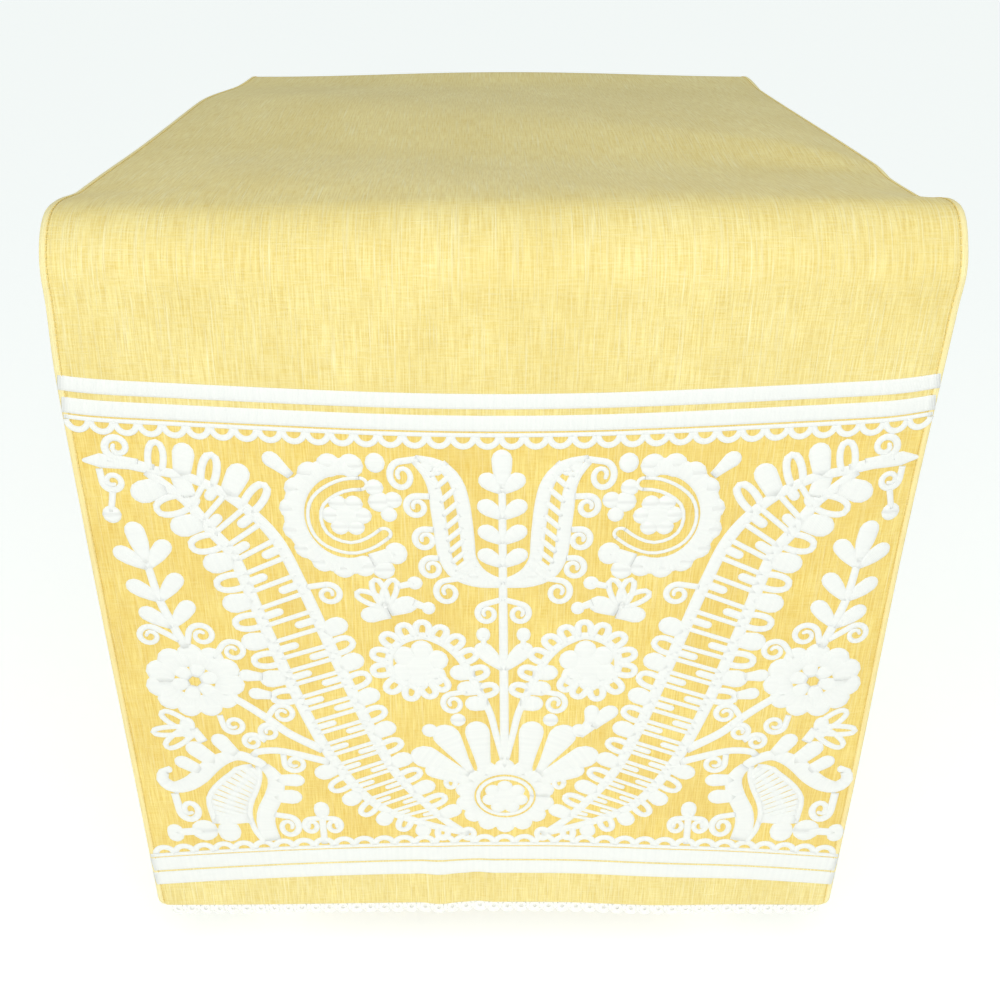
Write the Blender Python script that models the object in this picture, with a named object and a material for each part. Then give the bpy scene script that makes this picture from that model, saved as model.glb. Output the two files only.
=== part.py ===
"""Embroidered table runner laid over a plain low table.

Metres, +Z up. The origin is on the floor under the middle of the table, and the embroidered end of the
runner hangs in front, towards -Y. The runner is one strip of cloth. It is described by two lengths that
are measured on the cloth itself: how far across it a point is, from the middle of its width, and how far
along it a point is, from the edge of the front hem up, over the table and down behind.
"""

import math

import bpy
from mathutils import Vector

# Runner, as it was cut and sewn
RUNNER_WIDTH = 0.400
RUNNER_LENGTH = 1.200
CLOTH_THICKNESS = 0.0015
HEM_THICKNESS = 0.0024
HEM_DEPTH = 0.020
HEM_CORNER_RADIUS = 0.006

# Lace edging under each end hem
LACE_DEPTH = 0.0088
LACE_THICKNESS = 0.0012
LACE_SCALLOPS = 48
LACE_SCALLOP_RISE = 0.0026
SEWN_GAP = 0.0003

# Table that carries the runner
TABLE_HEIGHT = 0.450
TABLE_WIDTH = 0.360
TABLE_DEPTH = 0.451
TABLE_TOP_THICKNESS = 0.036
TABLE_TOP_ROUNDING = 0.024
TABLE_SIDE_BEVEL = 0.004
LEG_WIDTH = 0.036
LEG_INSET_SIDE = 0.026
LEG_INSET_END = 0.042
APRON_HEIGHT = 0.060
APRON_THICKNESS = 0.016
JOINERY_GAP = 0.0003

# How the runner lies
REST_GAP = 0.0004
EDGE_CLEARANCE = 0.002
BEND_RADIUS = 0.026
FRONT_DROP = 0.381

COLUMNS_ACROSS = 24

HALF_WIDTH = RUNNER_WIDTH / 2
HALF_DEPTH = TABLE_DEPTH / 2
TOP_PLANE = TABLE_HEIGHT + REST_GAP + CLOTH_THICKNESS
DROP_PLANE = HALF_DEPTH + EDGE_CLEARANCE + CLOTH_THICKNESS
BEND_LENGTH = BEND_RADIUS * math.pi / 2
TOP_LENGTH = 2 * (DROP_PLANE - BEND_RADIUS)
FRONT_BEND_END = FRONT_DROP + BEND_LENGTH
REAR_BEND_START = FRONT_BEND_END + TOP_LENGTH
REAR_DROP_START = REAR_BEND_START + BEND_LENGTH

# Soft swells of the hanging ends: the middle of each, its reach each way and its height, outwards
# from the plain drop. Places along are distances from the front hem.
SWELLS = (
    # name, across, reach across, along, reach along, height
    ("front belly", 0.000, 0.205, 0.325, 0.150, 0.0100),
    ("front hem draws in", 0.010, 0.200, 0.040, 0.120, -0.0030),
    ("front left edge lifts", -0.200, 0.050, 0.230, 0.180, 0.0014),
    ("front right edge turns back", 0.204, 0.030, 0.250, 0.170, -0.0036),
    ("front hem pucker, left", -0.032, 0.012, 0.010, 0.050, 0.0016),
    ("front hem pucker, middle", -0.010, 0.010, 0.012, 0.040, -0.0012),
    ("front hem lift, right", 0.095, 0.060, 0.000, 0.080, 0.0016),
    ("rear belly", 0.015, 0.200, 0.925, 0.150, 0.0100),
    ("rear fold, left", -0.120, 0.050, 1.110, 0.170, 0.0050),
    ("rear fold, right", 0.110, 0.055, 1.120, 0.160, 0.0042),
    ("rear hem draws in", 0.000, 0.090, 1.180, 0.120, -0.0030),
)

# Ripples of the cloth on the table top, from front to rear: distance behind the front drop at the
# middle of the width, how far that place moves for each metre across, and height above the lowest lie.
RIPPLES = (
    # name, behind, shift across, height
    ("front edge", 0.000, 0.00, 0.0018),
    ("front crest", 0.050, -0.15, 0.0056),
    ("trough", 0.143, -0.20, 0.0002),
    ("slanting crest", 0.250, -0.45, 0.0066),
    ("rear rest", 0.400, 0.00, 0.0008),
    ("rear edge", 0.440, 0.00, 0.0018),
)
CREST_BEND_RIGHT = 0.8

# Towards its sides the cloth lies flatter, and past the board its free edges droop
FLATTER = (
    # side, from, reach, share of the ripples left at the edge, droop
    (-1, 0.110, 0.090, 0.15, 0.0008),
    (1, 0.150, 0.050, 0.30, 0.0030),
)

# Where the cloth leaves the table its corners are drawn in, and ease out again on the way down
DRAWN_IN = (
    # side, sideways move, from, to, eased
    (-1, 0.0185, 0.715, 0.850, 1.080),
    (1, 0.0046, 0.790, 0.860, 1.000),
    (-1, 0.0024, 0.335, 0.390, 0.440),
)

CLOTH_COLOUR = (0.86, 0.63, 0.20)
LACE_COLOUR = (0.93, 0.92, 0.88)
PAINT_COLOUR = (0.84, 0.83, 0.80)


def smooth(value):
    """Ease from 0 to 1 with level ends."""
    value = min(1.0, max(0.0, value))
    return value * value * (3 - 2 * value)


def hump(distance, reach):
    """A soft hump: 1 in the middle, 0 from its reach outwards."""
    share = min(1.0, abs(distance) / reach)
    return 0.5 + 0.5 * math.cos(math.pi * share)


def plain_path(along):
    """Place and outward normal, in Y and Z, of a point on the runner before it swells or ripples."""
    bend_centre_y = DROP_PLANE - BEND_RADIUS
    bend_centre_z = TOP_PLANE - BEND_RADIUS
    if along < FRONT_DROP:
        return -DROP_PLANE, bend_centre_z - (FRONT_DROP - along), -1.0, 0.0
    if along > REAR_DROP_START:
        return DROP_PLANE, bend_centre_z - (along - REAR_DROP_START), 1.0, 0.0
    if FRONT_BEND_END <= along <= REAR_BEND_START:
        return -bend_centre_y + (along - FRONT_BEND_END), TOP_PLANE, 0.0, 1.0
    if along < FRONT_BEND_END:
        turn = (along - FRONT_DROP) / BEND_RADIUS
        centre_y, normal_y, normal_z = -bend_centre_y, -math.cos(turn), math.sin(turn)
    else:
        turn = (along - REAR_BEND_START) / BEND_RADIUS
        centre_y, normal_y, normal_z = bend_centre_y, math.sin(turn), math.cos(turn)
    return centre_y + BEND_RADIUS * normal_y, bend_centre_z + BEND_RADIUS * normal_z, normal_y, normal_z


def ripple_height(across, along):
    """Height of the cloth's ripples on the table top, and of the two bends where it leaves it."""
    behind = along - FRONT_BEND_END + BEND_RADIUS
    share, droop = flatter_sides(across, along)
    return ripple_section(across, behind) * share - droop


def flatter_sides(across, along):
    """Share of the ripples that is left near a side edge, and how far the edge droops there."""
    for side, start, reach, least, droop in FLATTER:
        past = side * across - start
        if past > 0:
            on_top = smooth((along - FRONT_BEND_END) / 0.04) * smooth((REAR_BEND_START - along) / 0.04)
            past_board = max(0.0, side * across - TABLE_WIDTH / 2) / (HALF_WIDTH - TABLE_WIDTH / 2)
            return 1 - (1 - least) * smooth(past / reach) * on_top, droop * past_board ** 1.5 * on_top
    return 1.0, 0.0


def ripple_section(across, behind):
    """The ripples along one lengthwise line of the cloth."""
    places = []
    for name, middle, shift, height in RIPPLES:
        place = middle + shift * across
        if name == "slanting crest":
            place -= CREST_BEND_RIGHT * max(0.0, across) ** 2
        places.append((place, height))
    if behind <= places[0][0]:
        return places[0][1] * smooth(1 + behind / BEND_RADIUS)
    if behind >= places[-1][0]:
        return places[-1][1] * smooth(1 - (behind - places[-1][0]) / BEND_RADIUS)
    for (start, low), (end, high) in zip(places, places[1:]):
        if behind <= end:
            return low + (high - low) * smooth((behind - start) / (end - start))
    return places[-1][1]


def swell(across, along):
    """How far the cloth stands out from the plain path."""
    height = ripple_height(across, along)
    for name, middle, reach, place, length, rise in SWELLS:
        height += rise * hump(across - middle, reach) * hump(along - place, length)
    return height


def drawn_in(across, along):
    """Sideways move, towards the middle, of the cloth near a drawn-in corner."""
    total = 0.0
    for side, move, start, full, eased in DRAWN_IN:
        fade = smooth((along - start) / (full - start)) * (1 - smooth((along - full) / (eased - full)))
        total -= side * move * fade * max(0.0, side * across / HALF_WIDTH) ** 1.5
    return total


def on_runner(across, along, depth=0.0):
    """A point on the face of the runner, or the given depth under it."""
    y, z, normal_y, normal_z = plain_path(along)
    out = swell(across, along) - depth
    return Vector((across + drawn_in(across, along), y + normal_y * out, z + normal_z * out))


def hem_corner(across):
    """How far a rounded hem corner keeps the cloth back from its straight end."""
    past = abs(across) - (HALF_WIDTH - HEM_CORNER_RADIUS)
    if past <= 0:
        return 0.0
    return HEM_CORNER_RADIUS - math.sqrt(max(0.0, HEM_CORNER_RADIUS ** 2 - past ** 2))


def rows_along():
    """Places of the cross rows, closer together in the hems and in the bends."""
    stretches = (
        # start, end, rows
        (0.0, HEM_DEPTH, 3),
        (HEM_DEPTH, FRONT_DROP, 24),
        (FRONT_DROP, FRONT_BEND_END, 6),
        (FRONT_BEND_END, REAR_BEND_START, 30),
        (REAR_BEND_START, REAR_DROP_START, 6),
        (REAR_DROP_START, RUNNER_LENGTH - HEM_DEPTH, 23),
        (RUNNER_LENGTH - HEM_DEPTH, RUNNER_LENGTH, 3),
    )
    places = [0.0]
    for start, end, count in stretches:
        for step in range(count):
            places.append(start + (end - start) * (step + 1) / count)
    return places


def columns_across():
    """Places of the lengthwise columns: even, with two close ones that round each corner."""
    inner = HALF_WIDTH - HEM_CORNER_RADIUS
    places = [-HALF_WIDTH, -HALF_WIDTH + HEM_CORNER_RADIUS * 0.3]
    count = COLUMNS_ACROSS - 4
    for step in range(count + 1):
        places.append(-inner + 2 * inner * step / count)
    places += [HALF_WIDTH - HEM_CORNER_RADIUS * 0.3, HALF_WIDTH]
    return places


def add_object(name, vertices, faces, colour, roughness):
    """A named object with its own painted or woven material."""
    mesh = bpy.data.meshes.new(name)
    mesh.from_pydata(vertices, [], faces)
    mesh.update()
    item = bpy.data.objects.new(name, mesh)
    bpy.context.scene.collection.objects.link(item)
    give_material(item, colour, roughness)
    return item


def give_material(item, colour, roughness):
    material = bpy.data.materials.new(item.name + "_finish")
    material.use_nodes = True
    shader = material.node_tree.nodes["Principled BSDF"]
    shader.inputs["Base Color"].default_value = (*colour, 1.0)
    shader.inputs["Roughness"].default_value = roughness
    shader.inputs["Metallic"].default_value = 0.0
    item.data.materials.append(material)


def make_runner():
    """One draped sheet whose inner face follows its outer one, thicker where the end hems are turned."""
    rows = rows_along()
    columns = columns_across()
    wide = len(columns)
    vertices = []
    for inside in (False, True):
        for along in rows:
            from_end = min(along, RUNNER_LENGTH - along)
            is_hem = from_end < HEM_DEPTH * 0.99
            depth = (HEM_THICKNESS if is_hem else CLOTH_THICKNESS) if inside else 0.0
            for across in columns:
                kept_back = hem_corner(across) * max(0.0, 1 - from_end / HEM_DEPTH)
                place = along + kept_back if along < RUNNER_LENGTH / 2 else along - kept_back
                vertices.append(on_runner(across, place, depth))
    inner = len(rows) * wide
    faces = []
    for row in range(len(rows) - 1):
        for column in range(wide - 1):
            a = row * wide + column
            b = a + wide
            faces.append((a, a + 1, b + 1, b))
            faces.append((inner + a, inner + b, inner + b + 1, inner + a + 1))
    for column in range(wide - 1):
        last = (len(rows) - 1) * wide + column
        faces.append((column, inner + column, inner + column + 1, column + 1))
        faces.append((last, last + 1, inner + last + 1, inner + last))
    for row in range(len(rows) - 1):
        left = row * wide
        right = left + wide - 1
        faces.append((left, left + wide, inner + left + wide, inner + left))
        faces.append((right, inner + right, inner + right + wide, right + wide))
    item = add_object("runner_cloth", vertices, faces, CLOTH_COLOUR, 0.85)
    item.data.shade_smooth()
    return item


def scallop(share):
    """Height that the lace's lower edge rises between two scallops, for a place along the strip."""
    return LACE_SCALLOP_RISE * (1 - abs(math.sin(math.pi * LACE_SCALLOPS * share)))


def make_lace(name, end, outward):
    """A narrow strip under one end hem, cut into scallops along its free edge."""
    reach = HALF_WIDTH - HEM_CORNER_RADIUS
    steps = LACE_SCALLOPS * 4
    middle = (HEM_THICKNESS - LACE_THICKNESS) / 2
    vertices = []
    for depth in (middle, middle + LACE_THICKNESS):
        for is_free_edge in (False, True):
            for step in range(steps + 1):
                share = step / steps
                across = -reach + 2 * reach * share
                drop = SEWN_GAP
                if is_free_edge:
                    drop = LACE_DEPTH - scallop(share)
                sewn = on_runner(across, end, depth)
                vertices.append(sewn + Vector((0.0, 0.0, -drop)))
    wide = steps + 1
    faces = []
    for step in range(steps):
        top = step
        low = top + wide
        back_top = top + 2 * wide
        back_low = low + 2 * wide
        faces.append((low, low + 1, top + 1, top))
        faces.append((back_low, back_top, back_top + 1, back_low + 1))
        faces.append((top, top + 1, back_top + 1, back_top))
        faces.append((low, back_low, back_low + 1, low + 1))
    first = (0, 2 * wide, 3 * wide, wide)
    last = tuple(corner + steps for corner in reversed(first))
    faces.append(first)
    faces.append(last)
    if outward > 0:
        faces = [tuple(reversed(face)) for face in faces]
    return add_object(name, vertices, faces, LACE_COLOUR, 0.8)


def make_box(name, low, high, bevel):
    """A board or post between two corners, its edges just eased."""
    corners = []
    for z in (low[2], high[2]):
        for x, y in ((low[0], low[1]), (high[0], low[1]), (high[0], high[1]), (low[0], high[1])):
            corners.append((x, y, z))
    faces = [(3, 2, 1, 0), (4, 5, 6, 7)]
    for side in range(4):
        following = (side + 1) % 4
        faces.append((side, following, following + 4, side + 4))
    item = add_object(name, corners, faces, PAINT_COLOUR, 0.45)
    easing = item.modifiers.new("eased edges", "BEVEL")
    easing.width = bevel
    easing.segments = 2
    return item


def make_table_top():
    """The board, its section drawn from front to rear and pushed across."""
    under = TABLE_HEIGHT - TABLE_TOP_THICKNESS
    radius = TABLE_TOP_ROUNDING
    steps = 8
    section = [(-HALF_DEPTH, under), (HALF_DEPTH, under)]
    for step in range(steps + 1):
        turn = math.pi / 2 * step / steps
        section.append((HALF_DEPTH - radius + radius * math.cos(turn),
                        TABLE_HEIGHT - radius + radius * math.sin(turn)))
    for step in range(steps + 1):
        turn = math.pi / 2 * step / steps
        section.append((-HALF_DEPTH + radius - radius * math.sin(turn),
                        TABLE_HEIGHT - radius + radius * math.cos(turn)))
    count = len(section)
    vertices = [(-TABLE_WIDTH / 2, y, z) for y, z in section]
    vertices += [(TABLE_WIDTH / 2, y, z) for y, z in section]
    faces = [tuple(reversed(range(count))), tuple(range(count, 2 * count))]
    for corner in range(count):
        following = (corner + 1) % count
        faces.append((corner, following, following + count, corner + count))
    item = add_object("table_top", vertices, faces, PAINT_COLOUR, 0.45)
    easing = item.modifiers.new("eased sides", "BEVEL")
    easing.width = TABLE_SIDE_BEVEL
    easing.segments = 2
    return item


def make_legs_and_aprons():
    """Four posts and the four boards between them, a hair apart where they are joined."""
    leg_top = TABLE_HEIGHT - TABLE_TOP_THICKNESS - JOINERY_GAP
    outer_x = TABLE_WIDTH / 2 - LEG_INSET_SIDE
    outer_y = HALF_DEPTH - LEG_INSET_END
    inner_x = outer_x - LEG_WIDTH
    inner_y = outer_y - LEG_WIDTH
    for side_name, side in (("left", -1), ("right", 1)):
        for end_name, end in (("front", -1), ("rear", 1)):
            low = (min(side * inner_x, side * outer_x), min(end * inner_y, end * outer_y), 0.0)
            high = (max(side * inner_x, side * outer_x), max(end * inner_y, end * outer_y), leg_top)
            make_box("table_leg_" + end_name + "_" + side_name, low, high, 0.0015)
    apron_low = leg_top - APRON_HEIGHT
    mid_x = (inner_x + outer_x) / 2
    mid_y = (inner_y + outer_y) / 2
    half = APRON_THICKNESS / 2
    for name, side in (("left", -1), ("right", 1)):
        low = (side * mid_x - half, -inner_y + JOINERY_GAP, apron_low)
        high = (side * mid_x + half, inner_y - JOINERY_GAP, leg_top)
        make_box("table_apron_" + name, low, high, 0.001)
    for name, end in (("front", -1), ("rear", 1)):
        low = (-inner_x + JOINERY_GAP, end * mid_y - half, apron_low)
        high = (inner_x - JOINERY_GAP, end * mid_y + half, leg_top)
        make_box("table_apron_" + name, low, high, 0.001)


def main():
    for item in list(bpy.data.objects):
        bpy.data.objects.remove(item, do_unlink=True)
    make_table_top()
    make_legs_and_aprons()
    make_runner()
    make_lace("lace_front", 0.0, -1)
    make_lace("lace_rear", RUNNER_LENGTH, 1)


main()
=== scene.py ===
# %% [markdown]
# # An embroidered table runner over a plain table
# A table runner is a long strip of cloth. This one is a mustard slub cotton with turned hems, a wide panel
# of white embroidery on the end that hangs in front, and a narrow lace edging under each end hem.
# The cells below dress a fixed frame: first the camera and the light, then the cloth on its folds, then the
# stitches that are laid on it, and last the finishes.

# %% Load the fixed frame
import math

import bpy
import numpy as np
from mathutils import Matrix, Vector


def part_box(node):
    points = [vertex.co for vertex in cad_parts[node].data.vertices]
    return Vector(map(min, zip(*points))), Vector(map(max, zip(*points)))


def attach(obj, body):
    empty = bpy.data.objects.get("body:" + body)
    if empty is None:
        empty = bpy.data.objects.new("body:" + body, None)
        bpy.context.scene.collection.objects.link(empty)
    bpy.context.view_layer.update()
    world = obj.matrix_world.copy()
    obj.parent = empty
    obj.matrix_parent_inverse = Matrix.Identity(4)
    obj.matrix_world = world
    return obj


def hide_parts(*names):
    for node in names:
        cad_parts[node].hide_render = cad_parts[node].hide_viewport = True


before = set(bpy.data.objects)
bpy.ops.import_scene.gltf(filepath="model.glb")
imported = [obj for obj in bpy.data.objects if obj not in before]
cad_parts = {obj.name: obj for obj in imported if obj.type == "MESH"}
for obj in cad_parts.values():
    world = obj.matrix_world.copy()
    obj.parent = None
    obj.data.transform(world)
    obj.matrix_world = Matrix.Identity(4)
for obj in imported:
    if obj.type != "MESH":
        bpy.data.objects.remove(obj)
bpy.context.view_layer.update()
bpy.ops.object.select_all(action="DESELECT")
print("frame nodes:", sorted(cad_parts))

# %% [markdown]
# ## The camera
# A photograph taken by hand looks slightly down on the runner from in front of it. A camera 0.69 m in front
# of the middle and 0.57 m up gives the same slopes to the side edges. The sideways shift moves the frame and
# not the view, so the runner keeps the photograph's perspective.

# %% Camera at the photograph's angle
CAMERA_PLACE = (-0.0107, -0.6893, 0.5735)
CAMERA_LOOKS_DOWN = math.radians(28.7)
LENS_MM = 39.6
FRAME_SHIFT = 0.024

bpy.ops.object.camera_add(location=CAMERA_PLACE, rotation=(math.pi / 2 - CAMERA_LOOKS_DOWN, 0, 0))
camera = bpy.context.object
camera.name = "camera"
camera.data.lens = LENS_MM
camera.data.sensor_width = 36.0
camera.data.shift_x = FRAME_SHIFT
camera.data.dof.use_dof = False
bpy.context.scene.camera = camera
print("camera", LENS_MM, "mm lens, looking down", round(math.degrees(CAMERA_LOOKS_DOWN), 1), "degrees")

# %% [markdown]
# ## Colours and nodes
# A colour picker gives sRGB values, but a renderer adds light up in linear values, so one function turns a
# hex code into a linear colour. A second small function adds a shader node, sets it up and wires its inputs:
# that is all that a material needs, and the materials below stay short.

# %% Colour and node helpers
def linear(hex_code, alpha=1.0):
    """Linear colour of an sRGB hex code."""
    values = []
    for start in (0, 2, 4):
        value = int(hex_code[start:start + 2], 16) / 255
        values.append(value / 12.92 if value <= 0.04045 else ((value + 0.055) / 1.055) ** 2.4)
    return (*values, alpha)


def add_node(material, kind, settings=None, inputs=None):
    """A new node: settings are its attributes, inputs are sockets given a value or another socket."""
    tree = material.node_tree
    node = tree.nodes.new(kind)
    for name, value in (settings or {}).items():
        setattr(node, name, value)
    for name, value in (inputs or {}).items():
        if isinstance(value, bpy.types.NodeSocket):
            tree.links.new(value, node.inputs[name])
        else:
            node.inputs[name].default_value = value
    return node


def new_material(name):
    """An empty material with one Principled shader, and that shader."""
    material = bpy.data.materials.new(name)
    material.use_nodes = True
    return material, material.node_tree.nodes["Principled BSDF"]


print("mustard in linear values:", [round(value, 3) for value in linear("E3B24B")[:3]])

# %% [markdown]
# ## The light and the floor
# Soft daylight comes from in front and a little above, so the hanging end is bright and the table top, which
# it only grazes, is darker and shows its ripples. A wide sun gives that light evenly over the whole floor.
# A pale, slightly cool sky fills the shadows. It is brighter in front, where the window is, and dimmer
# behind. A soft lamp hangs above the front edge: it lights the bend most and falls off to the rear of the
# table top. The floor is near white, and it glows a little, as a floor does in a bright white room.

# %% Daylight, sky and floor
SUN_HEIGHT = math.radians(30)
SUN_SIDE = math.radians(-8)
SUN_WIDTH = math.radians(25)
SUN_STRENGTH = 1.24
SKY_IN_FRONT = 0.76
SKY_BEHIND = 0.32

bpy.ops.object.light_add(type="SUN", rotation=(math.pi / 2 - SUN_HEIGHT, 0, SUN_SIDE))
sun = bpy.context.object
sun.name = "window_light"
sun.data.energy = SUN_STRENGTH
sun.data.angle = SUN_WIDTH
sun.data.color = linear("FFFAF0")[:3]

LAMP_PLACE = (0.0, -0.68, 1.0)
LAMP_TURN = math.radians(15)
LAMP_SIZE = 0.7
LAMP_WATTS = 2.5

bpy.ops.object.light_add(type="AREA", location=LAMP_PLACE, rotation=(LAMP_TURN, 0, 0))
lamp = bpy.context.object
lamp.name = "soft_lamp"
lamp.data.energy = LAMP_WATTS
lamp.data.size = LAMP_SIZE
lamp.data.color = linear("FFFCF4")[:3]

world = bpy.data.worlds.new("pale_sky")
bpy.context.scene.world = world
world.use_nodes = True
sky = world.node_tree.nodes["Background"]
sky.inputs["Color"].default_value = linear("E2EFF2")
direction = add_node(world, "ShaderNodeTexCoord").outputs["Generated"]
backwards = add_node(world, "ShaderNodeSeparateXYZ", None, {0: direction}).outputs["Y"]
strength = add_node(world, "ShaderNodeMapRange", None,
                    {"Value": backwards, "From Min": -0.7, "From Max": 0.7,
                     "To Min": SKY_IN_FRONT, "To Max": SKY_BEHIND}).outputs["Result"]
world.node_tree.links.new(strength, sky.inputs["Strength"])
bpy.context.scene.view_settings.view_transform = "Standard"

FLOOR_SIZE = 40.0
bpy.ops.mesh.primitive_plane_add(size=FLOOR_SIZE, location=(0, 0, -0.0005))
floor = bpy.context.object
floor.name = "floor"
print("sun", round(math.degrees(SUN_HEIGHT)), "degrees up, floor", FLOOR_SIZE, "m wide")

# %% [markdown]
# ## How the cloth lies
# The runner is described on the cloth itself: how far across it a point is from the middle, and how far along
# it from the edge of the front hem. One function then says where such a point lies in space: up the front
# drop, round the bend, over the table top and down behind. Swells and ripples are added along the normal.
# Everything sewn to the cloth uses the same function, so a stitch can never come off it.

# %% Sizes of the cloth, worked out from the table
table_low, table_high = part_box("table_top")

RUNNER_WIDTH = 0.400
RUNNER_LENGTH = 1.200
CLOTH_THICKNESS = 0.0015
HEM_DEPTH = 0.020
HEM_CORNER_RADIUS = 0.006
REST_GAP = 0.0004
EDGE_CLEARANCE = 0.002
BEND_RADIUS = 0.026
FRONT_DROP = 0.381

HALF_WIDTH = RUNNER_WIDTH / 2
BOARD_HALF_WIDTH = (table_high.x - table_low.x) / 2
TOP_PLANE = table_high.z + REST_GAP + CLOTH_THICKNESS
DROP_PLANE = table_high.y + EDGE_CLEARANCE + CLOTH_THICKNESS
BEND_LENGTH = BEND_RADIUS * math.pi / 2
TOP_LENGTH = 2 * (DROP_PLANE - BEND_RADIUS)
FRONT_BEND_END = FRONT_DROP + BEND_LENGTH
REAR_BEND_START = FRONT_BEND_END + TOP_LENGTH
REAR_DROP_START = REAR_BEND_START + BEND_LENGTH
print("cloth lies", round(TOP_PLANE * 1000, 1), "mm up and hangs", round(FRONT_DROP * 1000), "mm in front")

# %% Swells, ripples and drawn-in corners
SWELLS = (
    # name, across, reach across, along, reach along, height
    ("front belly", 0.000, 0.205, 0.325, 0.150, 0.0100),
    ("front hem draws in", 0.010, 0.200, 0.040, 0.120, -0.0030),
    ("front left edge lifts", -0.200, 0.050, 0.230, 0.180, 0.0014),
    ("front right edge turns back", 0.204, 0.030, 0.250, 0.170, -0.0036),
    ("front hem pucker, left", -0.032, 0.012, 0.010, 0.050, 0.0016),
    ("front hem pucker, middle", -0.010, 0.010, 0.012, 0.040, -0.0012),
    ("front hem lift, right", 0.095, 0.060, 0.000, 0.080, 0.0016),
    ("rear belly", 0.015, 0.200, 0.925, 0.150, 0.0100),
    ("rear fold, left", -0.120, 0.050, 1.110, 0.170, 0.0050),
    ("rear fold, right", 0.110, 0.055, 1.120, 0.160, 0.0042),
    ("rear hem draws in", 0.000, 0.090, 1.180, 0.120, -0.0030),
)
RIPPLES = (
    # name, behind the drop, shift across, bend on the right, height
    ("front edge", 0.000, 0.00, 0.0, 0.0018),
    ("front crest", 0.050, -0.15, 0.0, 0.0056),
    ("trough", 0.143, -0.20, 0.0, 0.0002),
    ("slanting crest", 0.250, -0.45, 0.8, 0.0066),
    ("rear rest", 0.400, 0.00, 0.0, 0.0008),
    ("rear edge", 0.440, 0.00, 0.0, 0.0018),
)
FLATTER = (
    # side, from, reach, share left at the edge, droop
    (-1, 0.110, 0.090, 0.15, 0.0008),
    (1, 0.150, 0.050, 0.30, 0.0030),
)
DRAWN_IN = (
    # side, sideways move, from, to, eased
    (-1, 0.0185, 0.715, 0.850, 1.080),
    (1, 0.0046, 0.790, 0.860, 1.000),
    (-1, 0.0024, 0.335, 0.390, 0.440),
)
EASE_LENGTH = 0.04


def smooth(value):
    """Ease from 0 to 1 with level ends."""
    value = np.clip(value, 0.0, 1.0)
    return value * value * (3 - 2 * value)


def hump(distance, reach):
    """A soft hump: 1 in the middle, 0 from its reach outwards."""
    return 0.5 + 0.5 * np.cos(np.pi * np.minimum(1.0, np.abs(distance) / reach))


def plain_path(along):
    """Place and outward normal, in Y and Z, before the cloth swells or ripples."""
    front = np.clip((along - FRONT_DROP) / BEND_RADIUS, 0, np.pi / 2)
    rear = np.clip((along - REAR_BEND_START) / BEND_RADIUS, 0, np.pi / 2)
    y = -DROP_PLANE + BEND_RADIUS * (1 - np.cos(front)) + BEND_RADIUS * np.sin(rear)
    y = y + np.clip(along - FRONT_BEND_END, 0, TOP_LENGTH)
    z = TOP_PLANE - BEND_RADIUS * (2 - np.sin(front) - np.cos(rear))
    z = z + np.minimum(0, along - FRONT_DROP) - np.maximum(0, along - REAR_DROP_START)
    return y, z, np.sin(rear) - np.cos(front), np.sin(front) + np.cos(rear) - 1


def ripple_height(across, along):
    """Height of the ripples on the table top: from each crest or trough the cloth eases to the next."""
    behind = along - FRONT_BEND_END + BEND_RADIUS
    places = []
    for name, middle, shift, bend, height in RIPPLES:
        places.append((middle + shift * across - bend * np.maximum(0, across) ** 2, height))
    level = places[0][1] * smooth(1 + behind / BEND_RADIUS)
    for (start, low), (end, high) in zip(places, places[1:]):
        level = level + (high - low) * smooth((behind - start) / (end - start))
    level = level * smooth(1 - (behind - places[-1][0]) / BEND_RADIUS)
    on_top = smooth((along - FRONT_BEND_END) / EASE_LENGTH) * smooth((REAR_BEND_START - along) / EASE_LENGTH)
    for side, start, reach, least, droop in FLATTER:
        past_board = np.maximum(0, side * across - BOARD_HALF_WIDTH) / (HALF_WIDTH - BOARD_HALF_WIDTH)
        level = level * (1 - (1 - least) * smooth((side * across - start) / reach) * on_top)
        level = level - droop * past_board ** 1.5 * on_top
    return level


def on_runner(across, along, lift=0.0):
    """Points on the face of the runner, or lifted off it, as an array of x, y, z."""
    y, z, normal_y, normal_z = plain_path(along)
    out = ripple_height(across, along) + lift
    for name, middle, reach, place, length, rise in SWELLS:
        out = out + rise * hump(across - middle, reach) * hump(along - place, length)
    x = across
    for side, move, start, full, eased in DRAWN_IN:
        fade = smooth((along - start) / (full - start)) * (1 - smooth((along - full) / (eased - full)))
        x = x - side * move * fade * np.maximum(0, side * across / HALF_WIDTH) ** 1.5
    return np.stack((x, y + normal_y * out, z + normal_z * out), axis=-1)


corner = on_runner(np.array([HALF_WIDTH]), np.array([FRONT_DROP]))[0]
print("upper right corner of the front drop:", [round(float(value), 4) for value in corner])

# %% [markdown]
# ## The cloth
# The real runner is one layer of woven cotton, turned over twice along each end and rolled narrowly along
# each side. A flat grid is laid out at the size of the finished cloth, with closer rows and columns in the
# hems. Its flat places become the UV map in metres, so that the weave keeps its true scale, and then every
# point is moved to where it lies. A second layer under the first and a rim between them close the sheet.

# %% Rows and columns of the cloth grid
SHEET_THICKNESS = 0.0011
TURNED_THICKNESS = 0.0020
SIDE_HEM = 0.0032
SIDE_HEM_SWELL = 0.00022
SEAM_GROOVE = 0.00030
ROW_SPACING = 0.0042
COLUMN_SPACING = 0.0042


def spread(start, end, spacing):
    """Even places from start up to end, at about the given spacing, without the last one."""
    count = max(1, round((end - start) / spacing))
    return [start + (end - start) * step / count for step in range(count)]


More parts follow.
